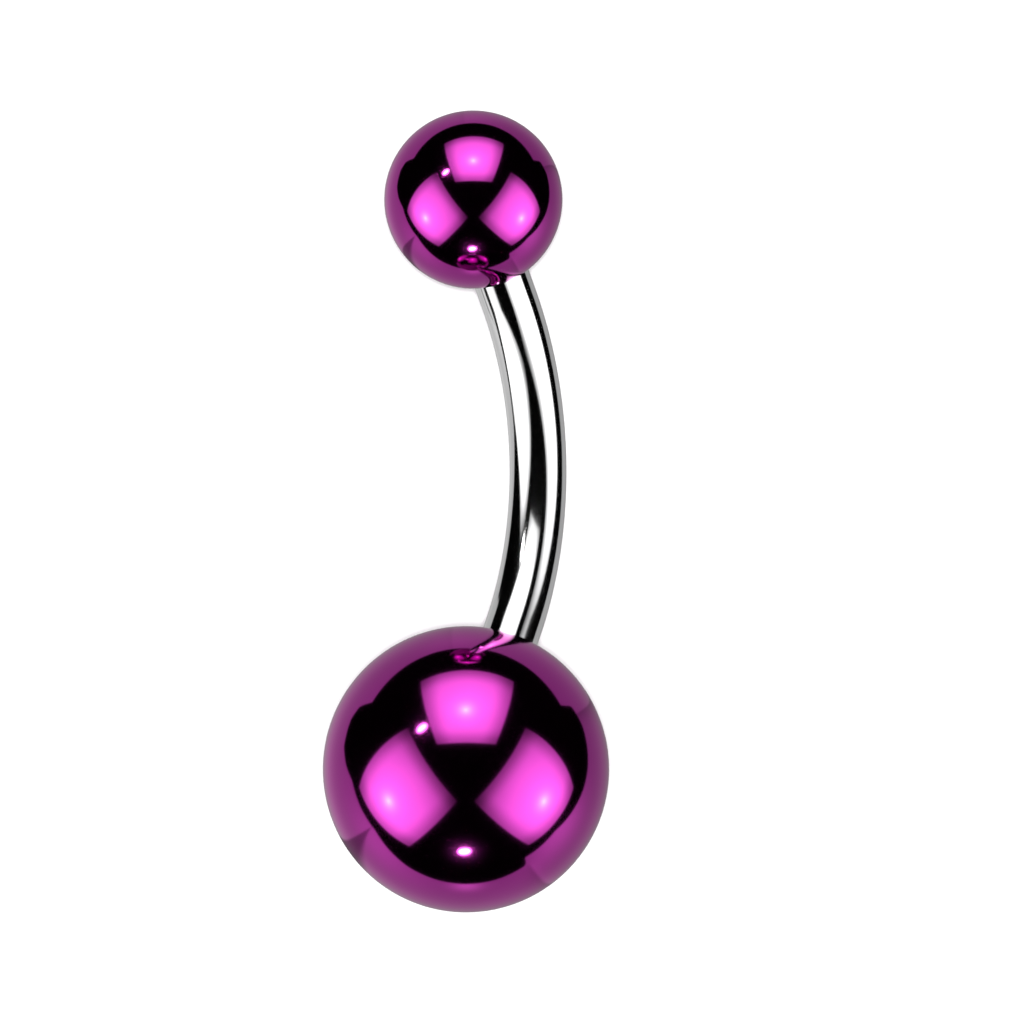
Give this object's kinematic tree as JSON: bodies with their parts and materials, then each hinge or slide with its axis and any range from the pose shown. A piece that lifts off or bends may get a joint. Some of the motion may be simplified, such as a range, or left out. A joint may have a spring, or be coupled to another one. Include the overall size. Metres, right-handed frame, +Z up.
{
  "type": "navel ring",
  "caption": "Curved steel bar for a navel piercing, with a purple screw-on ball at each end, the lower one larger.",
  "frame": {"origin": "on the floor that the ring lies on, under the middle of its length and width", "axes": "+X along the ring from the larger ball to the smaller, +Z up, away from the floor; the ring lies on both balls and on its bend, which leans towards -Y"},
  "size_m": [0.0224, 0.008, 0.008],
  "materials": {
    "polished_steel": "polished",
    "purple_plating": "polished"
  },
  "bodies": {
    "bar": {"curved_bar": "polished_steel"},
    "upper": {"upper_ball": "purple_plating"},
    "lower": {"lower_ball": "purple_plating"}
  },
  "joints": [
    {"name": "upper_ball_off", "type": "slide", "parent": "bar", "child": "upper", "axis": [0.8857, 0.3299, 0.3266], "range_m": [0, 0.004]},
    {"name": "lower_ball_off", "type": "slide", "parent": "bar", "child": "lower", "axis": [-0.8606, 0.2781, 0.4266], "range_m": [0, 0.004]}
  ]
}
